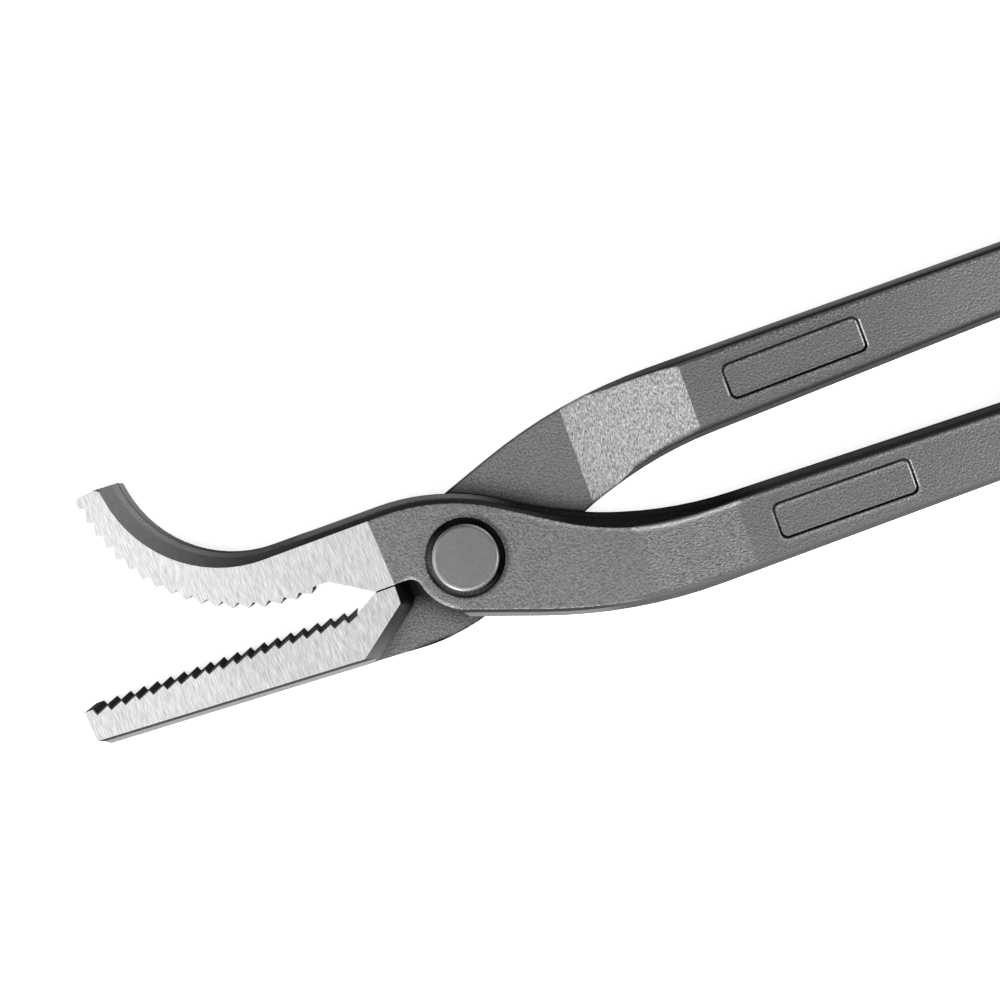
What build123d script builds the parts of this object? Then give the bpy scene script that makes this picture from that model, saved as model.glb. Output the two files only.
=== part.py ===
"""Riveted pipe pliers: two forged levers that cross in a lap joint on one rivet.

Millimetres. The tool lies flat: X runs along it towards the handles, Z is the rivet axis and
points out of the rivet head, and z = 0 is the underside that it rests on.

Both levers are drawn in the same way, with the jaw at upper left and the handle at lower right,
on a middle plane where the forging dies part. The lever with the straight jaw is then turned over
about X, so its jaw becomes the lower one and its handle the upper one.
"""

import os
from math import atan, atan2, cos, degrees, radians, sin, tan

from build123d import *

# Overall
jaw_reach = 83.0  # rivet axis to the tip of the straight jaw
handle_reach = 237.0  # rivet axis to the handle ends
thickness = 12.0  # jaws and closed joint, face to face
handle_thickness = 9.0

# Forging
draft_angle = 13.5  # slope of the side walls
parting_land = 1.5  # height of the trimmed band where the dies part
lip_width = 0.9  # sloped lip between the trimmed band and the side walls
lip_height = 0.9

# Outline of joint and shank on the parting plane
neck_top = 15.65  # outer edge of the jaw root
neck_bend_x = -0.2  # where the outer edge turns down across the joint
neck_bend_radius = 44.0
cross_angle = 32.5  # slope of the edge that crosses the joint
inner_sweep_radius = 85.0  # from the joint into the inner edge of the handle
inner_face_radius = 55.0  # the same sweep at the front face
outer_sweep_radius = 110.0  # from the boss into the outer edge of the handle
boss_radius = 10.5  # round end of the joint, at its face
boss_exit_angle = 235.0  # where the cut side of the boss runs out into the drafted side
shank_slope = 19.5  # outer edge between boss and handle
lap_gap = 0.3  # running gap between the two lap faces

# Handles
handle_root_x = 58.0
handle_root_offset = 15.0  # middle line of the handle from the middle line of the tool
handle_root_width = 17.0
handle_end_offset = 17.1
handle_end_width = 10.8
handle_end_radius = 5.2
handle_round = 0.8  # rounded long edges of the handle
lap_facet_start = 29.0  # slope from the lap face out to the handle face
lap_facet_end = 54.0
face_facet_start = 34.2  # slope from the joint face in to the handle face
face_facet_end = 55.6

# Framed panels on the handles
panel_x = 76.8
panel_length = 29.75
panel_width = 7.75
panel_corner = 1.5
panel_groove_width = 0.5
panel_groove_depth = 0.5

# Stop faces, notch and the shoulder of the lap pocket
stop_y = -0.4  # where the two jaws meet when closed
stop_gap = 0.3
stop_inner_x = -19.6
stop_outer_x = -15.4
shoulder_y = 4.2  # corner of the shoulder
shoulder_angle = 37.6
shoulder_draft = 25.0
notch_radius = 2.5
notch_angle = 200.0  # where the round of the boss ends, about the rivet axis
cut_skew = 0.36  # how far along the tool the cut sides of a jaw run over its thickness

# Curved jaw
curve_x = -33.7  # centre of the tooth arc
curve_y = 40.3
curve_radius = 36.7  # to the tooth points
curve_back_radius = 25.6  # hollow back of the jaw, on the parting plane
curve_face_radius = 26.4  # the same hollow at the front face
curve_face_side = 1.1  # how much nearer the teeth it lies there than the draft alone puts it
curve_face_foot = 0.3
curve_back_x = -62.7  # hollow back at the tip
curve_back_lean = 9.7
curve_tip_flat = 2.1  # from the last tooth point to the end of the tip
curve_end_slope = 4.0
curve_end_radius = 1.3
curve_tooth_count = 18
curve_tooth_pitch = 3.25
curve_tooth_depth = 1.25
curve_tooth_steep = 0.9  # run of the flank that faces the rivet
curve_first_angle = 186.8
curve_root_x = -27.6
curve_root_y = 4.8

# Straight jaw
straight_tooth_count = 19
straight_tooth_pitch = 3.0
straight_tooth_depth = 1.05
straight_tooth_steep = 0.5
straight_tooth_y = 3.15  # tooth points beside the middle line of the tool
straight_tip_flat = 1.8
straight_end_y = 10.3  # where the end of the tip turns into its bevel
straight_end_lean = 5.0
straight_end_slope = 45.0
straight_end_radius = 1.5
straight_back_y = 11.35  # back edge at the tip

# Rivet
rivet_shank = 10.0
rivet_head = 13.7
rivet_head_height = 3.5
rivet_head_proud = 1.1
rivet_head_round = 0.8
rivet_tail = 13.0
rivet_tail_height = 1.5
head_pocket_gap = 1.3  # ring round the rivet head
running_clearance = 0.05
seat_clearance = 0.02

# Worked out
half = thickness / 2
half_land = parting_land / 2
half_handle = handle_thickness / 2
lip_top = half_land + lip_height
inset = lip_width + (half - lip_top) * tan(radians(draft_angle))  # face from parting outline
stock = inset + 0.5  # left on the parting plane where sides are cut afterwards
clear = 2 * max(handle_reach, jaw_reach)  # beyond everything
front_stop = stop_y + stop_gap / 2
rear_stop = stop_gap / 2 - stop_y
head_seat = half + rivet_head_proud - rivet_head_height
front_frame = Plane.XY.offset(half)
rear_frame = Plane(origin=(0, 0, half), x_dir=(1, 0, 0), z_dir=(0, 0, -1))


def slope(point_a, point_b):
    return degrees(atan2(point_b[1] - point_a[1], point_b[0] - point_a[0]))


def polar(centre_x, centre_y, radius, angle):
    return (centre_x + radius * cos(radians(angle)), centre_y + radius * sin(radians(angle)))


def crossing(point_a, angle_a, point_b, angle_b):
    """Where two lines meet, each given by a point and its slope in degrees."""
    rise_a = tan(radians(angle_a))
    rise_b = tan(radians(angle_b))
    x = (point_b[1] - point_a[1] + rise_a * point_a[0] - rise_b * point_b[0]) / (rise_a - rise_b)
    return (x, point_a[1] + rise_a * (x - point_a[0]))


def shank_corners(stop):
    """Outline corners (x, y, radius) from the neck over the joint, round the handle to the stop."""
    inner_root = (handle_root_x, handle_root_width / 2 - handle_root_offset)
    inner_end = (handle_reach, handle_end_width / 2 - handle_end_offset)
    outer_root = (handle_root_x, -handle_root_width / 2 - handle_root_offset)
    outer_end = (handle_reach, -handle_end_width / 2 - handle_end_offset)
    neck_bend = (neck_bend_x, neck_top)
    boss = boss_radius + inset
    boss_arc = 270 - shank_slope - notch_angle
    shank_start = polar(0, 0, boss, 270 - shank_slope)
    notch_start = polar(0, 0, boss, notch_angle)
    joint_inner = crossing(neck_bend, -cross_angle, inner_root, slope(inner_root, inner_end))
    joint_outer = crossing(shank_start, -shank_slope, outer_root, slope(outer_root, outer_end))
    boss_corner = polar(0, 0, boss / cos(radians(boss_arc / 2)), notch_angle + boss_arc / 2)
    notch_corner = crossing(notch_start, notch_angle - 90, (0, stop - stock), 0)
    return [
        (*neck_bend, neck_bend_radius),
        (*joint_inner, inner_sweep_radius),
        (*inner_end, handle_end_radius),
        (*outer_end, handle_end_radius),
        (*joint_outer, outer_sweep_radius),
        (*boss_corner, boss),
        (*notch_corner, notch_radius),
    ]


def curved_outline():
    """Outline of the lever with the curved jaw, with stock on the toothed side."""
    tip = curve_y + inset
    arc = curve_radius + stock
    back_foot = curve_back_x + (tip - neck_top) * tan(radians(curve_back_lean))
    return [
        (curve_back_x, tip, 0),
        (back_foot, neck_top, curve_back_radius),
        *shank_corners(front_stop),
        (stop_inner_x, front_stop - stock, 0),
        (curve_root_x, curve_y - arc, 0),
        (curve_x - arc, curve_y - arc, curve_radius - stock),
        (curve_x - arc, tip, 0),
    ]


def straight_outline():
    """Outline of the lever with the straight jaw, with stock on the toothed side."""
    tip = -jaw_reach - stock
    back_rise = (neck_top - straight_back_y) / (neck_bend_x + jaw_reach)
    return [
        (tip, straight_back_y - stock * back_rise, 0),
        *shank_corners(rear_stop),
        (tip, rear_stop - stock, 0),
    ]


def curved_teeth():
    """Tooth points and gullets from the root of the curved jaw to its tip."""
    step = degrees(curve_tooth_pitch / curve_radius)
    steep = degrees(curve_tooth_steep / curve_radius)
    points = []
    for tooth in reversed(range(curve_tooth_count)):
        angle = curve_first_angle + tooth * step
        points.append(polar(curve_x, curve_y, curve_radius - curve_tooth_depth, angle + steep))
        points.append(polar(curve_x, curve_y, curve_radius, angle))
    return points


def straight_teeth():
    """Tooth points and gullets from the root of the straight jaw to its tip."""
    first = straight_tip_flat - jaw_reach
    gullet_y = straight_tooth_y + straight_tooth_depth
    points = [(first + straight_tooth_count * straight_tooth_pitch, straight_tooth_y)]
    for tooth in reversed(range(straight_tooth_count)):
        x = first + tooth * straight_tooth_pitch
        points.append((x + straight_tooth_steep, gullet_y))
        points.append((x, straight_tooth_y))
    return points


def curved_edge():
    """Cut side of the curved jaw on the face seen from above: stop face, root, teeth, tip."""
    last_point = polar(curve_x, curve_y, curve_radius, curve_first_angle)
    end = polar(*last_point, curve_tip_flat, curve_first_angle - 90)
    return [
        (stop_inner_x, front_stop),
        (curve_root_x, curve_root_y),
        *curved_teeth(),
        end,
    ]


def straight_edge():
    """Cut side of the straight jaw on the face seen from above: stop face, root, teeth, tip and bevel."""
    lean = (straight_end_y - straight_tooth_y) * tan(radians(straight_end_lean))
    return [
        (stop_inner_x, rear_stop),
        *straight_teeth(),
        (-jaw_reach, straight_tooth_y),
        (lean - jaw_reach, straight_end_y),
    ]


def drawn_in(corners, distance):
    """The same outline moved inwards, which is to the right of its path."""
    moved = []
    for index, (x, y, radius) in enumerate(corners):
        before = corners[index - 1]
        after = corners[(index + 1) % len(corners)]
        arriving = slope(before, (x, y))
        leaving = slope((x, y), after)
        turn = (leaving - arriving + 180) % 360 - 180
        reach = distance / cos(radians(turn / 2))
        corner = polar(x, y, reach, arriving + turn / 2 - 90)
        if radius > 0:
            radius += distance if turn > 0 else -distance
        moved.append((*corner, radius))
    return moved


def front_corners(corners, changes):
    """The outline drawn in to the front face, with some corners, given by number, set otherwise."""
    moved = drawn_in(corners, inset)
    for number, (left, down, radius) in changes.items():
        x, y, _ = moved[number]
        moved[number] = (x - left, y - down, radius)
    return moved


def outline_face(corners, height):
    points = [corner[:2] for corner in corners]
    radii = [corner[2] for corner in corners]
    with BuildSketch(Plane.XY.offset(height)) as outline:
        with BuildLine():
            FilletPolyline(*points, radius=radii, close=True)
        make_face()
    return outline.sketch


def half_forging(corners, face_corners):
    """Half of a blank, from the parting plane up, with a lip and drafted sides."""
    parting = outline_face(corners, half_land)
    lip = outline_face(drawn_in(corners, lip_width), lip_top)
    face = outline_face(face_corners, half)
    with BuildPart() as blank:
        loft([parting, lip, face], ruled=True)
        extrude(parting, amount=-half_land, dir=(0, 0, 1))
    return blank.part


def forging(corners, changes):
    """A blank with its front half above the parting plane and its plainer back half below."""
    with BuildPart() as blank:
        add(half_forging(corners, front_corners(corners, changes)))
        mirror(half_forging(corners, drawn_in(corners, inset)), about=Plane.XY)
    return blank.part


def curved_blank():
    """Blank of the lever with the curved jaw, whose back half is upright on the jaw side."""
    corners = curved_outline()
    changes = {
        0: (curve_face_side, 0, 0),
        1: (curve_face_side, curve_face_foot, curve_face_radius),
        3: (0, 0, inner_face_radius),
    }
    forged = forging(corners, changes)
    parting = outline_face(corners, 0)
    with BuildPart() as blank:
        with BuildSketch():
            add(parting)
            Rectangle(clear, clear, align=(Align.MAX, Align.CENTER), mode=Mode.INTERSECT)
        extrude(amount=-half)
        add(forged)
    return blank.part


def straight_blank():
    return forging(straight_outline(), {2: (0, 0, inner_face_radius)})


def back_relief():
    """What is cut from the back of a lever: lap pocket, slope beside it and handle back."""
    shoulder_far = neck_top + inset
    run = (shoulder_far - shoulder_y) / tan(radians(shoulder_angle))
    with BuildPart() as relief:
        with BuildSketch(Plane.XY.offset(-half)):
            with BuildLine():
                Polyline(
                    (stop_outer_x, -clear),
                    (clear, -clear),
                    (clear, shoulder_far),
                    (stop_outer_x - run, shoulder_far),
                    (stop_outer_x, shoulder_y),
                    close=True,
                )
            make_face()
        extrude(amount=half + lap_gap / 2, taper=shoulder_draft)
        with BuildSketch(Plane.XZ):
            with BuildLine():
                Polyline(
                    (-clear, lap_gap / 2),
                    (lap_facet_start, lap_gap / 2),
                    (lap_facet_end, -half_handle),
                    (clear, -half_handle),
                    (clear, -thickness),
                    (-clear, -thickness),
                    close=True,
                )
            make_face()
        extrude(amount=clear, both=True, mode=Mode.INTERSECT)
    return relief.part


def rounded_handle(body, start_x, side):
    """Front or back half of the handle with its long edges rounded."""
    with BuildPart() as handle:
        add(body)
        with Locations((start_x, 0, 0)):
            Box(clear, clear, clear, align=(Align.MIN, Align.CENTER, side), mode=Mode.INTERSECT)
        flat_faces = handle.faces().filter_by(Axis.Z).sort_by(Axis.Z)
        handle_face = flat_faces[-1] if side == Align.MIN else flat_faces[0]
        fillet(handle_face.edges().filter_by(Axis.Y, reverse=True), handle_round)
    return handle.part


def lever(blank, working_edge, seen_face, stop, end_slope, end_radius):
    """A lever on its drawing plane: forged blank, cut working edge, lap, facets and panels."""
    boss_exit = polar(0, 0, boss_radius, boss_exit_angle)
    run_out = (boss_exit[0] - clear * sin(radians(boss_exit_angle)), boss_exit[1] - clear)
    notch = (-((boss_radius**2 - stop**2) ** 0.5), stop)
    boss_middle = polar(0, 0, boss_radius, (boss_exit_angle + slope((0, 0), notch) % 360) / 2)
    panel_share = (panel_x - handle_root_x) / (handle_reach - handle_root_x)
    panel_y = -handle_root_offset - panel_share * (handle_end_offset - handle_root_offset)
    panel_turn = -degrees(atan((handle_end_offset - handle_root_offset) / (handle_reach - handle_root_x)))
    end = working_edge[-1]
    end_far = (end[0] + clear, end[1] + clear * tan(radians(end_slope)))
    relief = back_relief()
    with BuildPart() as body:
        add(blank)
        with BuildSketch(Plane.XY.offset(seen_face)) as cut_side:
            with BuildLine():
                Line(run_out, boss_exit)
                ThreePointArc(boss_exit, boss_middle, notch)
                Polyline(notch, *working_edge, end_far, (clear, -clear), run_out)
            make_face()
            fillet(cut_side.vertices().sort_by_distance(notch)[0], notch_radius)
            fillet(cut_side.vertices().sort_by_distance(end)[0], end_radius)
        extrude(amount=2 * thickness, dir=(-cut_skew, 0, thickness), both=True, mode=Mode.INTERSECT)
        add(relief, mode=Mode.SUBTRACT)
        with BuildSketch(Plane.XZ):
            with BuildLine():
                Polyline(
                    (face_facet_start, half),
                    (face_facet_end, half_handle),
                    (clear, half_handle),
                    (clear, thickness),
                    (face_facet_start, thickness),
                    close=True,
                )
            make_face()
        extrude(amount=clear, both=True, mode=Mode.SUBTRACT)
    front_half = rounded_handle(body.part, face_facet_start, Align.MIN)
    back_half = rounded_handle(body.part, lap_facet_start, Align.MAX)
    with BuildPart() as finished:
        add(body.part)
        with Locations((face_facet_start, 0, 0)):
            Box(clear, clear, clear, align=(Align.MIN, Align.CENTER, Align.MIN), mode=Mode.SUBTRACT)
        with Locations((lap_facet_start, 0, 0)):
            Box(clear, clear, clear, align=(Align.MIN, Align.CENTER, Align.MAX), mode=Mode.SUBTRACT)
        add(front_half)
        add(back_half)
        for face_z in (half_handle, panel_groove_depth - half_handle):
            with BuildSketch(Plane.XY.offset(face_z)):
                with Locations(Location((panel_x, panel_y, 0), (0, 0, panel_turn))):
                    RectangleRounded(panel_length, panel_width, panel_corner)
                    RectangleRounded(
                        panel_length - 2 * panel_groove_width,
                        panel_width - 2 * panel_groove_width,
                        panel_corner - panel_groove_width / 2,
                        mode=Mode.SUBTRACT,
                    )
            extrude(amount=-panel_groove_depth, mode=Mode.SUBTRACT)
    return finished.part


os.makedirs("parts", exist_ok=True)

curved_lever = lever(curved_blank(), curved_edge(), half, front_stop, curve_end_slope, curve_end_radius)
with BuildPart() as front_lever:
    add(curved_lever)
    with Locations((0, 0, half)):
        CounterBoreHole(
            radius=rivet_shank / 2 + running_clearance,
            counter_bore_radius=rivet_head / 2 + head_pocket_gap,
            counter_bore_depth=half - head_seat + running_clearance,
        )
front_lever.part = front_frame.from_local_coords(front_lever.part)
front_lever.part.label = "front_lever"
export_step(front_lever.part, "parts/front_lever.step")

straight_lever = lever(
    straight_blank(), straight_edge(), -half, rear_stop, straight_end_slope, straight_end_radius
)
with BuildPart() as rear_lever:
    add(straight_lever)
    with Locations((0, 0, half)):
        CounterSinkHole(
            radius=rivet_shank / 2 + seat_clearance,
            counter_sink_radius=rivet_tail / 2 + seat_clearance,
            counter_sink_angle=2 * degrees(atan2(rivet_tail - rivet_shank, 2 * rivet_tail_height)),
        )
rear_lever.part = rear_frame.from_local_coords(rear_lever.part)
rear_lever.part.label = "rear_lever"
export_step(rear_lever.part, "parts/rear_lever.step")

with BuildPart() as pivot_rivet:
    with BuildSketch(Plane.XZ):
        with BuildLine():
            Polyline(
                (0, 0),
                (rivet_tail / 2, 0),
                (rivet_shank / 2, rivet_tail_height),
                (rivet_shank / 2, half + head_seat),
                (rivet_head / 2, half + head_seat),
                (rivet_head / 2, thickness + rivet_head_proud),
                (0, thickness + rivet_head_proud),
                close=True,
            )
        make_face()
    revolve(axis=Axis.Z)
    fillet(pivot_rivet.edges().group_by(Axis.Z)[-1], rivet_head_round)
pivot_rivet.part.label = "pivot_rivet"
export_step(pivot_rivet.part, "parts/pivot_rivet.step")
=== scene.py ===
import math

import bpy
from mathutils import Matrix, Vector

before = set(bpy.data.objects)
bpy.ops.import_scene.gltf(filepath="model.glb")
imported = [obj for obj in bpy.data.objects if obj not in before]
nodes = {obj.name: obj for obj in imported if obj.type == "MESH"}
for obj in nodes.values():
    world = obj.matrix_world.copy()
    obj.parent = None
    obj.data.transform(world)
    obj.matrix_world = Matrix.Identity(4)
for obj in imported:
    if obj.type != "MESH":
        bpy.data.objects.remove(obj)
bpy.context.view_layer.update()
scene = bpy.context.scene
MM = 0.001

# The picture: the tool lies flat and turned by this much, seen from straight above.
TURN = math.radians(20)
PICTURE_RIGHT = Vector((math.cos(TURN), -math.sin(TURN), 0))
PICTURE_UP = Vector((math.sin(TURN), math.cos(TURN), 0))

# Heights in millimetres, the first above the floor, the others from the parting plane
PARTING_HEIGHT = 6.0  # plane where the forging dies part
FACE_HEIGHT = 6.0  # jaw and joint faces
FACE_STEP = 0.2  # what lies deeper than this is no longer part of them
HANDLE_FACE = 4.5
GROOVE_DEPTH = 0.06  # the groove round a panel lies deeper than this
GLINT_DEPTH = 0.1  # the glints at the ends of a panel lie higher than this
FACE_SOFT = 0.03  # softness of these two limits
LIP_HEIGHT = 1.65  # top of the trimmed lip
SWEEP_CLIMB = (LIP_HEIGHT, 3.2)  # where the lip turns into the wall in the sweep of a lever
SHAFT_CLIMB = (0.8, 2.2)  # the same along the handle
WORN_HEIGHT = 3.4  # lower edges keep their coat
HOLLOW_RIM = (3.0, 5.6)  # upper border of the hollow back of the curved jaw
HOLLOW_FLOOR = -0.75  # below this the hollow is paler
LINE_HEIGHT = 0.9  # painted shade, a dark line in the corner of the joint

# Places along the tool, in millimetres from the rivet towards the handles
GRIND_END = -15.3  # where the ground jaw faces end, on the middle line
GRIND_LEAN = 0.06  # slope of that end
HANDLE_START = 30.0
COAT_FADE = (35.0, 60.0)  # from the coat of the joint to that of the handles
SPECKLE_FADE = (10.0, 40.0)
LOW_FADE = (20.0, HANDLE_START)  # from joint to handle on the sides that face down the picture
LIP_FADE = (2.0, 14.0)  # from joint to sweep on the lip and the wall that face up the picture
WALL_FADE = (14.0, 24.0)
SHAFT = (54.0, 66.0)  # where the sweep of a lever turns into the straight handle
EDGE_FADE = (45.0, 58.0)  # where the shaded edge of the handles widens
PANEL_ENDS = (60.5, 93.0)
PANEL_NEAR_GLINT = (61.55, 61.85)  # painted highlight on the edge at the end towards the joint
PANEL_FAR_GLINTS = ((90.9, 91.15), (91.65, 91.95))  # painted highlights on the edges at the far end
PALE_END = (92.0, 118.0)  # the upper handle gets paler here
FLECK_START = 60.0  # worn flecks and painted highlight on the upper edge of the upper handle
FACET_EDGE = (33.8, 56.5)  # painted highlight on the inner edge of the sloped facet on the front lever
SHINE_FADE = (5.0, 20.0)  # where the painted highlight on the upper edge of the front lever gets bright
BOSS_EDGE = (-13.0, -5.0)  # worn lower edge of the boss
NOTCH_X = (-16.5, -11.0)  # painted shade in the pocket between the shoulder and the boss
SHOULDER_END = -9.0  # the sloped shoulder of the rear lever lies before this
LINE_START = -12.0
HOLLOW_START = (-34.0, -28.0)  # where the hollow back of the curved jaw begins
HOLLOW_FADE = (-62.0, -30.0)
RIM_START = -46.0

# Places across the tool, in millimetres from the rivet up the picture
PANEL_SIDES = (10.8, 19.7)  # on both handles, so above and below the rivet
PANEL_MIDDLE = 15.22
GLINT_SIDES = (12.3, 18.2)
NEAR_GLINT_SIDE = 16.0
GROOVE_FADE = (-2.0, 2.0)  # from the middle of the panel; the painted shade in the groove is paler up the picture
NOTCH_Y = (-4.6, 1.5)
CORNER_SHADE_FADE = (-9.0, -4.0)  # the painted shade in corners is darker above this
LOW_JOINT = (-10.0, -6.0)  # the rear half of the joint is darker below this
SHOULDER_SIDE = -3.0
SHOULDER_FADE = (-17.0, -6.0)

# The rivet head and the pocket round it, in millimetres from its axis
RING = (6.8, 8.2)
RING_FADE = (-8.0, 3.0)  # across the pocket, from lower left to upper right; painted light and shade, paler at the lower left
RING_LEAN = 0.7
BRIGHT_FROM = RING[1] + 1.1  # edges nearer the rivet stay dark
SHADOW = (8.0, 9.0)  # soft shadow round the pocket
SHADOW_LEAN = -0.06

# Teeth and tips, in millimetres along and across the tool
TOOTH_ROOT = -24.4  # where the teeth of both jaws end and the bare root begins
ROOT_END = -19.3
TOOTH_CENTRE = (-33.7, 40.3)  # of the curved jaw
TOOTH_REACH = 34.2  # every tooth of the curved jaw lies farther out than this
CURVED_ROOT = 4.9  # its root lies below this
TOOTH_LINE = -8.0  # the teeth of the straight jaw lie above this line
STRAIGHT_ROOT = -3.7  # its root lies above this
TOOTH_FIRST = -81.2  # its tooth point next to the tip
TOOTH_PITCH = 3.0
TOOTH_POINTS = -3.15
TOOTH_STEEP = -2.1  # slopes of its short and long flanks
TOOTH_SLACK = 0.42
TOOTH_EDGE_SHADE = (0.25, 0.45)  # width of the painted shade along them on its face
TIP_END = 37.0  # the end face of the curved jaw lies above this line
TIP_CORNER = (-66.2, 36.7)  # rounded end of its ground face
TIP_ROUND = 1.5

# Upward share of the normal, from where a finish or form begins to where it is complete
LEVEL = (0.95, 0.985)
ON_FACET = (0.95, 0.975)
ON_FACE = (0.80, 0.92)
OFF_LIP = (0.80, 0.88)
OFF_SIDE = (0.45, 0.72)

# Shares of the normal along the tool and up the picture
FACET_LEAN = (0.04, 0.06)
SHOULDER_LEAN = (0.2, 0.4)
RAISED = (-0.1, 0.1)
TIP_RAISED = (0.6, 0.8)
UPPER_EDGE = (0.08, 0.20)
LOWER_EDGE = (-0.20, -0.08)
SHADED_FROM = -0.06
SHADED_TO = (-0.25, -0.50)

# Linear greys of both levers. A pair runs away from the jaws or up the picture.
SHAFT_WALL_GREY = 0.12
WORN_GREY = 0.48
GLINT_GREY = 0.8
# painted shade in the grooves round the panels
GROOVE_GREYS = (0.012, 0.06)
# painted shade in the pocket between the shoulder and the boss
NOTCH_GREY = 0.008
ROOT_GREY = 0.88
SPECKLE = (0.25, 0.15)  # spread of the speckle in the coat
CORNER = (0.60, 0.97)  # openness from deep in a corner to the open, for the painted shade in corners
CORNER_SHARES = (0.40, 0.10)  # what deep corners keep of their grey under the painted shade
FLAKES = (0.40, 0.60)  # range of the fine pattern in which worn edges break up
WORN_SHARE = 0.7

# Shine and relief of the coat, the facets, the ground faces and the bare root
COAT_ROUGHNESS = 0.46
GROUND_ROUGHNESS = 0.48
ROOT_ROUGHNESS = 0.12
COAT_METAL = 0.45
GROUND_METAL = 0.35
FACET_RELIEF = 1.6
GROUND_RELIEF = 0.2


class Material:
    """A node material with short ways to add and join nodes."""

    def __init__(self, name):
        self.material = bpy.data.materials.new(name)
        self.material.use_nodes = True
        self.tree = self.material.node_tree
        self.tree.nodes.clear()
        self.output = self.tree.nodes.new("ShaderNodeOutputMaterial")
        coordinates = self.tree.nodes.new("ShaderNodeTexCoord")
        self.place = coordinates.outputs["Object"]
        self.facing = coordinates.outputs["Normal"]

    def node(self, kind, **settings):
        made = self.tree.nodes.new(kind)
        for key, value in settings.items():
            setattr(made, key, value)
        return made

    def put(self, socket, value):
        if isinstance(value, bpy.types.NodeSocket):
            self.tree.links.new(value, socket)
        else:
            socket.default_value = value

    def math(self, operation, *values):
        made = self.node("ShaderNodeMath", operation=operation)
        for index, value in enumerate(values):
            self.put(made.inputs[index], value)
        return made.outputs[0]

    def size(self, value):
        return self.math("ABSOLUTE", value)

    def both(self, *shares):
        result = shares[0]
        for share in shares[1:]:
            result = self.math("MULTIPLY", result, share)
        return result

    def without(self, share, *others):
        for other in others:
            share = self.math("MULTIPLY", share, self.math("SUBTRACT", 1.0, other))
        return share

    def split(self, vector):
        made = self.node("ShaderNodeSeparateXYZ")
        self.put(made.inputs[0], vector)
        return made.outputs

    def ramp(self, value, low, high, to_low=0.0, to_high=1.0):
        made = self.node("ShaderNodeMapRange", interpolation_type="SMOOTHSTEP")
        numbers = {"Value": value, "From Min": low, "From Max": high, "To Min": to_low, "To Max": to_high}
        for name, number in numbers.items():
            self.put(made.inputs[name], number)
        return made.outputs[0]

    def grade(self, value, low, high, to_low=0.0, to_high=1.0):
        """A ramp between two places in millimetres."""
        return self.ramp(value, low * MM, high * MM, to_low, to_high)

    def above(self, value, edge, soft=0.1):
        return self.grade(value, edge - soft, edge + soft)

    def below(self, value, edge, soft=0.1):
        return self.grade(value, edge - soft, edge + soft, 1.0, 0.0)

    def within(self, value, low, high, soft=0.1):
        return self.both(self.above(value, low, soft), self.below(value, high, soft))

    def blend(self, share, first, second):
        made = self.node("ShaderNodeMix", data_type="FLOAT")
        for index, value in ((0, share), (2, first), (3, second)):
            self.put(made.inputs[index], value)
        return made.outputs[0]

    def vary(self, base, pattern, amount):
        """A base value with a pattern of the given amount about it."""
        return self.math("ADD", base, self.math("MULTIPLY", self.math("SUBTRACT", pattern, 0.5), amount))

    def grain(self, scale, stretch=(1, 1, 1), detail=2.0, roughness=0.5):
        mapping = self.node("ShaderNodeMapping")
        self.put(mapping.inputs["Vector"], self.place)
        self.put(mapping.inputs["Scale"], stretch)
        made = self.node("ShaderNodeTexNoise")
        self.put(made.inputs["Vector"], mapping.outputs[0])
        self.put(made.inputs["Scale"], scale)
        self.put(made.inputs["Detail"], detail)
        self.put(made.inputs["Roughness"], roughness)
        return made.outputs[0]

    def rounded(self, radius):
        """Normals with the sharp edges eased by this radius in millimetres."""
        made = self.node("ShaderNodeBevel", samples=6)
        self.put(made.inputs["Radius"], radius * MM)
        return made.outputs[0]

    def own(self, normal):
        """A normal in the axes of the object, which hold at every pose."""
        made = self.node(
            "ShaderNodeVectorTransform", vector_type="NORMAL", convert_from="WORLD", convert_to="OBJECT"
        )
        self.put(made.inputs[0], normal)
        return made.outputs[0]

    def edges(self, rounded_normal):
        """1 on sharp edges, 0 elsewhere."""
        geometry = self.node("ShaderNodeNewGeometry")
        made = self.node("ShaderNodeVectorMath", operation="DOT_PRODUCT")
        self.put(made.inputs[0], rounded_normal)
        self.put(made.inputs[1], geometry.outputs["Normal"])
        return self.ramp(made.outputs["Value"], 0.90, 0.985, 1.0, 0.0)

    def openness(self, reach):
        """1 in the open, 0 deep in a corner or slot."""
        made = self.node("ShaderNodeAmbientOcclusion", samples=8)
        self.put(made.inputs["Distance"], reach * MM)
        return made.outputs["AO"]

    def bump(self, height, strength, distance, normal):
        made = self.node("ShaderNodeBump")
        self.put(made.inputs["Height"], height)
        self.put(made.inputs["Strength"], strength)
        self.put(made.inputs["Distance"], distance * MM)
        self.put(made.inputs["Normal"], normal)
        return made.outputs[0]

    def turned(self, share, first, second):
        """The first normal, or the second where the share is 1."""
        made = self.node("ShaderNodeMix", data_type="VECTOR")
        self.put(made.inputs["Factor"], share)
        self.put(made.inputs[4], first)
        self.put(made.inputs[5], second)
        return made.outputs[1]

    def distance(self, x, y, centre):
        from_x = self.math("SUBTRACT", x, centre[0] * MM)
        from_y = self.math("SUBTRACT", y, centre[1] * MM)
        return self.math("SQRT", self.math("ADD", self.both(from_x, from_x), self.both(from_y, from_y)))

    def grey(self, value):
        made = self.node("ShaderNodeCombineColor")
        for socket in made.inputs:
            self.put(socket, value)
        return made.outputs[0]

    def surface(self, colour, roughness, metallic, normal):
        made = self.node("ShaderNodeBsdfPrincipled")
        self.put(made.inputs["Base Color"], colour)
        self.put(made.inputs["Roughness"], roughness)
        self.put(made.inputs["Metallic"], metallic)
        self.put(made.inputs["Specular IOR Level"], 0.0)
        self.put(made.inputs["Normal"], normal)
        self.tree.links.new(made.outputs[0], self.output.inputs["Surface"])
        return self.material


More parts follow.
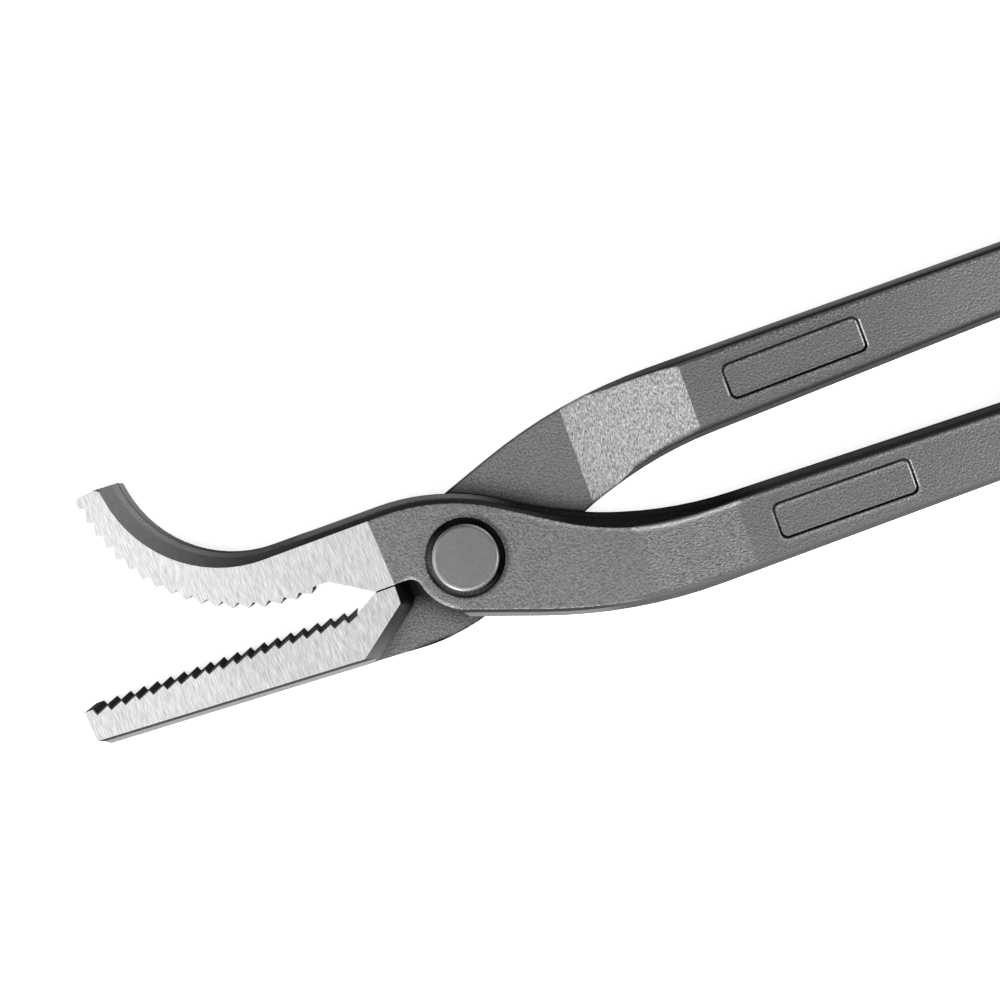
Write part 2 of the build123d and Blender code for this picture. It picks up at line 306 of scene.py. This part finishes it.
class LeverMaterial(Material):
    """Coated forging with ground jaw faces, dark sides, a trimmed lip and coarser sloped facets, with light
    and shade painted into its greys.
    """

    def __init__(self, name):
        super().__init__(name)
        self.x, self.y, self.z = self.split(self.place)
        self.lengthwise, self.sideways, upward = self.split(self.facing)
        self.flatness = self.size(upward)
        self.height = self.size(self.math("SUBTRACT", self.z, PARTING_HEIGHT * MM))
        self.make_patterns()
        self.find_finishes()
        self.find_edges()

    def make_patterns(self):
        self.grind = self.grain(scale=1400.0, stretch=(4.0, 0.30, 1.0), roughness=0.6)
        self.cloud = self.grain(scale=90.0)
        self.fine = self.grain(scale=2200.0, detail=1.0)
        self.coarse = self.grain(scale=2300.0, stretch=self.facet_stretch, detail=1.0)
        self.streak = self.grain(scale=700.0, stretch=(1.0, 1.0, 3.0))

    def find_finishes(self):
        """Where each finish is: 1 inside, 0 outside."""
        self.level = self.ramp(self.flatness, *LEVEL)
        self.under_face = self.below(self.height, FACE_HEIGHT - FACE_STEP)
        self.over_lip = self.above(self.height, LIP_HEIGHT)
        under_lip = self.below(self.height, LIP_HEIGHT)
        self.lip = self.both(self.ramp(self.flatness, *OFF_LIP, 1.0, 0.0), under_lip)
        self.side = self.math("MAXIMUM", self.lip, self.ramp(self.flatness, *OFF_SIDE, 1.0, 0.0))
        lean = self.math("MULTIPLY", self.y, -self.handle_side * GRIND_LEAN)
        self.jaw = self.below(self.math("ADD", self.x, lean), GRIND_END)
        self.ground = self.both(self.level, self.above(self.height, FACE_HEIGHT - FACE_STEP), self.jaw)
        self.root = self.both(self.side, self.within(self.x, TOOTH_ROOT, ROOT_END), self.root_side())
        leaning = self.ramp(self.size(self.lengthwise), *FACET_LEAN)
        self.sloped = self.both(leaning, self.ramp(self.flatness, *ON_FACET))
        self.groove = self.both(
            self.within(self.x, *PANEL_ENDS),
            self.within(self.size(self.y), *PANEL_SIDES),
            self.below(self.height, HANDLE_FACE - GROOVE_DEPTH, FACE_SOFT),
        )
        self.notch = self.both(
            self.within(self.x, *NOTCH_X, soft=0.6),
            self.within(self.y, *NOTCH_Y, soft=0.4),
            self.under_face,
        )

    def find_edges(self):
        """Where the rounded edges of the faces are, told by normals eased over a wide stretch."""
        self.eased = self.rounded(radius=0.5)
        self.turn = self.split(self.own(self.rounded(radius=1.5)))[1]
        self.on_face = self.both(self.ramp(self.flatness, *ON_FACE), self.over_lip)
        upper_edge = self.both(self.ramp(self.turn, *UPPER_EDGE), self.on_face)
        self.upper_edge = self.without(upper_edge, self.groove)
        steepest = self.grade(self.x, *EDGE_FADE, *SHADED_TO)
        shaded = self.ramp(self.vary(self.turn, self.fine, amount=0.2), steepest, SHADED_FROM, 1.0, 0.0)
        shaded = self.both(shaded, self.above(self.x, HANDLE_START, soft=5.0), self.over_lip)
        self.shaded_edge = self.without(shaded, self.groove, self.side)

    def face_grey(self):
        return self.grade(self.x, *COAT_FADE, *self.coat_greys)

    def coat(self):
        """Speckled faces and coarser facets."""
        face = self.vary(self.face_grey(), self.fine, self.grade(self.x, *SPECKLE_FADE, *SPECKLE))
        face = self.vary(face, self.cloud, amount=0.03)
        facet = self.vary(self.facet_grey, self.coarse, self.facet_spread)
        return self.blend(self.sloped, face, facet)

    def sides(self, colour):
        """Walls and lip, with painted light and shade: greys of their own where they face down and up the
        picture.
        """
        raised = self.ramp(self.sideways, *RAISED)
        shaft = self.grade(self.x, *SHAFT)
        low_lip = self.grade(self.x, *LOW_FADE, *self.low_lip_greys)
        low_wall = self.grade(self.x, *LOW_FADE, *self.low_wall_greys)
        sweep_lip = self.grade(self.x, *LIP_FADE, *self.sweep_lip_greys)
        sweep_wall = self.grade(self.x, *WALL_FADE, *self.sweep_wall_greys)
        high_lip = self.blend(shaft, sweep_lip, self.shaft_lip_grey)
        high_wall = self.blend(shaft, sweep_wall, SHAFT_WALL_GREY)
        sweep_climb = self.grade(self.height, *SWEEP_CLIMB)
        climb = self.blend(shaft, sweep_climb, self.grade(self.height, *SHAFT_CLIMB))
        high_side = self.blend(climb, high_lip, high_wall)
        wall = self.vary(self.blend(raised, low_wall, high_side), self.streak, amount=0.03)
        lip = self.vary(self.blend(raised, low_lip, high_side), self.fine, amount=0.05)
        return self.blend(self.lip, self.blend(self.side, colour, wall), lip)

    def wear_and_painted_light(self, colour):
        """Worn sharp edges, and painted highlights, the glints, at the ends of the panels."""
        edge = self.both(self.edges(self.eased), self.ramp(self.fine, *FLAKES))
        edge = self.both(edge, self.above(self.height, WORN_HEIGHT))
        worn = self.without(edge, self.groove, self.shaded_edge)
        colour = self.blend(self.both(worn, WORN_SHARE), colour, WORN_GREY)
        from_middle = self.size(self.y)
        near = self.within(self.x, *PANEL_NEAR_GLINT)
        near = self.both(near, self.below(from_middle, NEAR_GLINT_SIDE, soft=1.0))
        far = self.math("ADD", *[self.within(self.x, *ends) for ends in PANEL_FAR_GLINTS])
        ends = self.math("MAXIMUM", self.both(near, self.near_glint), self.both(far, self.far_glint))
        on_panel = self.both(self.level, self.above(self.height, HANDLE_FACE - GLINT_DEPTH, FACE_SOFT))
        glint = self.both(on_panel, ends, self.within(from_middle, *GLINT_SIDES))
        return self.blend(glint, colour, GLINT_GREY)

    def painted_shade(self, colour):
        """Painted shade in corners, in the grooves and in the pocket between the shoulder and the boss."""
        kept = self.grade(self.y, *CORNER_SHADE_FADE, *CORNER_SHARES)
        corner_shade = self.ramp(self.openness(reach=7.0), *CORNER, to_low=kept)
        colour = self.math("MULTIPLY", colour, corner_shade)
        # Painted shade in the grooves round the panels, paler up the picture.
        from_panel = self.math("SUBTRACT", self.y, self.handle_side * PANEL_MIDDLE * MM)
        colour = self.blend(self.groove, colour, self.grade(from_panel, *GROOVE_FADE, *GROOVE_GREYS))
        # Painted shade in the pocket between the shoulder and the boss.
        return self.blend(self.notch, colour, NOTCH_GREY)

    def steel(self):
        """Ground steel with the marks of the wheel across the jaw, and painted light that makes it paler
        towards the tip.
        """
        grey = self.grade(self.x, *self.steel_fade, *self.steel_greys)
        return self.vary(self.vary(grey, self.grind, amount=0.85), self.cloud, amount=0.08)

    def jaws(self, colour):
        """Ground faces, teeth darkened by oxide and painted shade, and the bare root behind the teeth."""
        colour = self.blend(self.ground, colour, self.steel())
        teeth = self.both(self.side, self.tooth_side(), self.below(self.x, TOOTH_ROOT))
        colour = self.blend(teeth, colour, self.vary(self.tooth_grey, self.streak, self.tooth_grey))
        return self.blend(self.root, colour, ROOT_GREY)

    def finish(self):
        """The material with all its colours, its shine and its relief."""
        colour = self.jaws(self.painted_shade(self.wear_and_painted_light(self.sides(self.coat()))))
        roughness = self.vary(COAT_ROUGHNESS, self.fine, amount=0.15)
        roughness = self.blend(self.ground, roughness, GROUND_ROUGHNESS)
        roughness = self.blend(self.root, roughness, ROOT_ROUGHNESS)
        metallic = self.without(self.blend(self.ground, COAT_METAL, GROUND_METAL), self.side)
        metallic = self.blend(self.root, metallic, 1.0)
        relief = self.blend(self.sloped, self.fine, self.math("MULTIPLY", self.coarse, FACET_RELIEF))
        relief = self.blend(self.ground, relief, self.math("MULTIPLY", self.grind, GROUND_RELIEF))
        smooth = self.turned(self.jaw, self.eased, self.rounded(radius=0.12))
        normal = self.bump(relief, strength=1.0, distance=0.15, normal=smooth)
        return self.surface(self.grey(colour), roughness, metallic, normal)


class FrontLever(LeverMaterial):
    """The lever with the curved jaw, the rivet pocket and the lower handle."""

    handle_side = -1
    facet_stretch = (0.8, 1.5, 1.0)
    facet_spread = 0.42
    near_glint = 0.15
    far_glint = 0.6
    steel_fade = (-75.0, -20.0)

    facet_grey = 0.218
    coat_greys = (0.195, 0.168)
    low_lip_greys = (0.22, 0.10)
    low_wall_greys = (0.06, 0.12)
    sweep_lip_greys = (0.34, 0.03)
    sweep_wall_greys = (0.12, 0.035)
    shaft_lip_grey = 0.13
    steel_greys = (0.67, 0.58)
    tooth_grey = 0.13
    edge_grey = 0.42
    facet_edge_grey = 0.80
    shaded_grey = 0.12
    ring_greys = (0.16, 0.012)
    hollow_greys = (0.295, 0.185)
    hollow_lift = 1.8  # painted light, a factor on them at the bottom, and the next a painted shade on the rim
    hollow_rim = 0.85
    tip_grey = 0.06

    def find_finishes(self):
        super().find_finishes()
        self.from_pin = self.distance(self.x, self.y, (0, 0))
        # Painted shade on the end face of the curved jaw and on the rounded corner of its ground face.
        corner = self.both(
            self.above(self.x, TIP_CORNER[0]),
            self.above(self.y, TIP_CORNER[1]),
            self.above(self.distance(self.x, self.y, TIP_CORNER), TIP_ROUND),
        )
        tip_end = self.both(self.side, self.above(self.y, TIP_END), self.ramp(self.sideways, *TIP_RAISED))
        self.dark_tip = self.math("MAXIMUM", tip_end, self.both(self.ground, corner))
        self.ground = self.without(self.ground, self.dark_tip)

    def root_side(self):
        return self.below(self.y, CURVED_ROOT)

    def tooth_side(self):
        return self.above(self.distance(self.x, self.y, TOOTH_CENTRE), TOOTH_REACH)

    def wear_and_painted_light(self, colour):
        """Painted highlights on the upper edges, a worn lower edge of the boss, shaded edges, and the soft
        shadow round the rivet pocket.
        """
        colour = super().wear_and_painted_light(colour)
        # Painted highlight on the upper edges and the facet edge, and the worn lower edge of the boss.
        on_facet = self.within(self.x, *FACET_EDGE, soft=0.5)
        shine = self.blend(on_facet, self.grade(self.x, *SHINE_FADE, to_high=0.6), 1.0)
        lower_edge = self.both(self.ramp(self.turn, *LOWER_EDGE, 1.0, 0.0), self.on_face)
        boss_edge = self.both(lower_edge, self.within(self.x, *BOSS_EDGE, soft=1.0))
        bright = self.math("MAXIMUM", self.both(self.upper_edge, shine), boss_edge)
        bright = self.both(bright, self.above(self.from_pin, BRIGHT_FROM, soft=0.3))
        bright_grey = self.blend(on_facet, self.edge_grey, self.facet_edge_grey)
        colour = self.blend(bright, colour, self.vary(bright_grey, self.fine, amount=0.6))
        colour = self.blend(self.shaded_edge, colour, self.shaded_grey)
        from_pocket = self.math("ADD", self.from_pin, self.math("MULTIPLY", self.x, SHADOW_LEAN))
        return self.math("MULTIPLY", colour, self.grade(from_pocket, *SHADOW, to_low=0.45))

    def jaws(self, colour):
        colour = self.rivet_pocket(colour)
        colour = self.hollow_back(colour)
        # Painted shade at the tip of the curved jaw.
        colour = self.blend(self.dark_tip, colour, self.tip_grey)
        return super().jaws(colour)

    def rivet_pocket(self, colour):
        # Painted light and shade in the pocket round the rivet, paler at the lower left.
        ring = self.both(self.within(self.from_pin, *RING), self.under_face)
        across_ring = self.math("ADD", self.x, self.math("MULTIPLY", self.y, RING_LEAN))
        return self.blend(ring, colour, self.grade(across_ring, *RING_FADE, *self.ring_greys))

    def hollow_back(self, colour):
        # Greys of the hollow back of the curved jaw, with painted light at its bottom and painted shade under
        # its rim.
        hollow = self.both(self.side, self.grade(self.x, *HOLLOW_START, 1.0, 0.0))
        shade = self.grade(self.x, *HOLLOW_FADE, *self.hollow_greys)
        lift = self.blend(self.below(self.z, PARTING_HEIGHT + HOLLOW_FLOOR), 1.0, self.hollow_lift)
        rim = self.both(self.grade(self.height, *HOLLOW_RIM), self.above(self.x, RIM_START, soft=8.0))
        shade = self.both(shade, lift, self.blend(rim, 1.0, self.hollow_rim))
        return self.blend(hollow, colour, self.vary(shade, self.streak, amount=0.12))


class RearLever(LeverMaterial):
    """The lever with the straight jaw, the sloped shoulder and the upper handle."""

    handle_side = 1
    facet_stretch = (1.6, 0.6, 1.0)
    facet_spread = 0.9
    near_glint = 0.5
    far_glint = 0.9
    steel_fade = (-75.0, -25.0)

    # painted light: the sloped facet of the upper handle is given a much paler grey, as if lit
    facet_grey = 0.43
    coat_greys = (0.195, 0.177)
    low_lip_greys = (0.30, 0.07)
    low_wall_greys = (0.075, 0.04)
    sweep_lip_greys = (0.34, 0.20)
    sweep_wall_greys = (0.12, 0.15)
    shaft_lip_grey = 0.50
    steel_greys = (0.585, 0.535)
    tooth_grey = 0.30
    pale_end = 0.035  # added to the coat, as is the next one
    low_joint = -0.028
    shoulder_greys = (0.21, 0.045)
    line_grey = 0.045
    fleck_grey = 0.42
    fleck_share = 0.6
    fleck_flakes = (0.45, 0.6)
    shaded_greys = (0.03, 0.07)
    tooth_edge_shade_grey = 0.05

    def root_side(self):
        return self.above(self.y, STRAIGHT_ROOT)

    def tooth_side(self):
        return self.above(self.y, TOOTH_LINE)

    def face_grey(self):
        grey = self.math("ADD", super().face_grey(), self.grade(self.x, *PALE_END, 0.0, self.pale_end))
        return self.math("ADD", grey, self.grade(self.y, *LOW_JOINT, self.low_joint, 0.0))

    def wear_and_painted_light(self, colour):
        """Painted shade on the sloped shoulder and in the corner of the joint, worn flecks with painted
        highlight, and the shaded edge.
        """
        colour = super().wear_and_painted_light(colour)
        # Painted shade on the sloped shoulder, darker up the picture.
        shoulder = self.both(self.side, self.ramp(self.lengthwise, *SHOULDER_LEAN))
        shoulder = self.both(shoulder, self.below(self.x, SHOULDER_END), self.below(self.y, SHOULDER_SIDE))
        colour = self.blend(shoulder, colour, self.grade(self.y, *SHOULDER_FADE, *self.shoulder_greys))
        # Painted shade: a dark line in the corner of the joint.
        line = self.both(self.edges(self.rounded(radius=1.2)), self.below(self.height, LINE_HEIGHT))
        colour = self.blend(self.both(line, self.above(self.x, LINE_START, soft=2.0)), colour, self.line_grey)
        # Worn flecks and painted highlight on the upper edge of the upper handle.
        fleck = self.both(self.upper_edge, self.above(self.x, FLECK_START, soft=6.0))
        fleck = self.both(fleck, self.ramp(self.fine, *self.fleck_flakes), self.fleck_share)
        colour = self.blend(fleck, colour, self.fleck_grey)
        return self.blend(self.shaded_edge, colour, self.grade(self.x, *EDGE_FADE, *self.shaded_greys))

    def steel(self):
        """Ground steel with painted shade along the edge of the saw teeth."""
        run = self.math("FLOORED_MODULO", self.math("SUBTRACT", self.x, TOOTH_FIRST * MM), TOOTH_PITCH * MM)
        short_flank = self.math("MULTIPLY", run, TOOTH_STEEP)
        long_flank = self.math("MULTIPLY", self.math("SUBTRACT", run, TOOTH_PITCH * MM), TOOTH_SLACK)
        flank = self.math("ADD", self.math("MAXIMUM", short_flank, long_flank), TOOTH_POINTS * MM)
        inside = self.math("SUBTRACT", flank, self.y)
        tooth_edge_shade = self.both(
            self.grade(inside, *TOOTH_EDGE_SHADE, 1.0, 0.0),
            self.within(self.x, TOOTH_FIRST, TOOTH_ROOT),
        )
        return self.blend(tooth_edge_shade, super().steel(), self.tooth_edge_shade_grey)


def rivet_material():
    """Plain steel with a painted highlight on its rim to the left and the upper right."""
    rivet_grey = 0.225
    rim_highlight_grey = 0.75
    right_share = 0.8  # of the painted highlight on the rim on that side
    m = Material("rivet_steel")
    fine = m.grain(scale=1500.0, detail=1.5)
    cloud = m.grain(scale=160.0)
    lengthwise, sideways, upward = m.split(m.facing)
    colour = m.vary(m.vary(rivet_grey, fine, amount=0.05), cloud, amount=0.03)
    # Painted highlight on the rim, to the left and the upper right.
    rim = m.both(m.ramp(upward, 0.25, 0.5), m.ramp(upward, 0.93, 0.985, 1.0, 0.0))
    left = m.ramp(lengthwise, -0.55, -0.15, 1.0, 0.0)
    right = m.both(m.ramp(lengthwise, 0.1, 0.5), m.ramp(sideways, 0.0, 0.4), right_share)
    colour = m.blend(m.both(rim, m.math("MAXIMUM", left, right)), colour, rim_highlight_grey)
    # Painted shade where the head sits in its pocket.
    corner_shade = m.ramp(m.openness(reach=3.0), 0.2, 0.8, to_low=0.15)
    colour = m.math("MULTIPLY", colour, corner_shade)
    normal = m.bump(fine, strength=0.4, distance=0.06, normal=m.rounded(radius=0.25))
    return m.surface(m.grey(colour), roughness=0.36, metallic=0.5, normal=normal)


def dress(name, material):
    node = nodes[name]
    node.data.materials.clear()
    node.data.materials.append(material)


dress("front_lever", FrontLever("front_coat").finish())
dress("rear_lever", RearLever("rear_coat").finish())
dress("pivot_rivet", rivet_material())


def floor_material():
    """White where it is seen or mirrored, dark in what it scatters on the sides of the tool."""
    f = Material("pale_floor")
    path = f.node("ShaderNodeLightPath")
    lit = f.node("ShaderNodeBsdfDiffuse")
    f.put(lit.inputs["Color"], (0.9, 0.9, 0.9, 1))
    glow = f.node("ShaderNodeEmission")
    f.put(glow.inputs["Color"], (1, 1, 1, 1))
    f.put(glow.inputs["Strength"], 0.75)
    white = f.node("ShaderNodeAddShader")
    f.put(white.inputs[0], lit.outputs[0])
    f.put(white.inputs[1], glow.outputs[0])
    dark = f.node("ShaderNodeBsdfDiffuse")
    f.put(dark.inputs["Color"], (0.10, 0.10, 0.10, 1))
    seen = f.math("MAXIMUM", path.outputs["Is Camera Ray"], path.outputs["Is Glossy Ray"])
    seen = f.math("MAXIMUM", seen, path.outputs["Is Transmission Ray"])
    choice = f.node("ShaderNodeMixShader")
    f.put(choice.inputs[0], seen)
    f.put(choice.inputs[1], dark.outputs[0])
    f.put(choice.inputs[2], white.outputs[0])
    f.tree.links.new(choice.outputs[0], f.output.inputs["Surface"])
    return f.material


floor_drop = 0.2 * MM  # the tool stands this little above the floor
bpy.ops.mesh.primitive_plane_add(size=6, location=(0, 0, -floor_drop))
floor = bpy.context.object
floor.name = "floor"
floor.data.materials.append(floor_material())

# Studio light: no lamp stands at the top of the picture, so the sides that face it stay dark.
world = bpy.data.worlds.new("studio")
scene.world = world
world.use_nodes = True
background = world.node_tree.nodes["Background"]
background.inputs["Color"].default_value = (1, 1, 1, 1)
background.inputs["Strength"].default_value = 0.08

centre = Vector((0.03, 0.0, 0.006))  # the lamps face this place


def lamp(name, right, up, high, size, power):
    """An area light at a place in metres along the picture's right and up and above the tool."""
    data = bpy.data.lights.new(name, "AREA")
    data.shape = "SQUARE"
    data.size = size
    data.energy = power
    made = bpy.data.objects.new(name, data)
    scene.collection.objects.link(made)
    made.location = centre + PICTURE_RIGHT * right + PICTURE_UP * up + Vector((0, 0, high))
    made.rotation_mode = "QUATERNION"
    made.rotation_quaternion = (centre - made.location).to_track_quat("-Z", "Y")


lamp("left_key", right=-0.36, up=-0.08, high=0.80, size=0.42, power=2.6)
lamp("top_fill", right=0.15, up=-0.62, high=0.80, size=0.60, power=5.0)
lamp("low_fill", right=-0.10, up=-0.95, high=0.34, size=0.50, power=6.0)
lamp("right_fill", right=0.48, up=-0.06, high=0.26, size=0.25, power=1.8)

# The camera stands over a place to the left of the picture's middle.
camera_data = bpy.data.cameras.new("camera")
camera_data.lens = 46.33
camera_data.sensor_width = 36
camera_data.shift_x = 0.118
camera_data.shift_y = -0.015
camera_data.clip_start = 0.01
camera_data.clip_end = 20
camera = bpy.data.objects.new("camera", camera_data)
scene.collection.objects.link(camera)
camera.location = (-0.01080, 0.01952, 0.272)
camera.rotation_euler = (0, 0, -TURN)
scene.camera = camera
scene.view_settings.view_transform = "Standard"
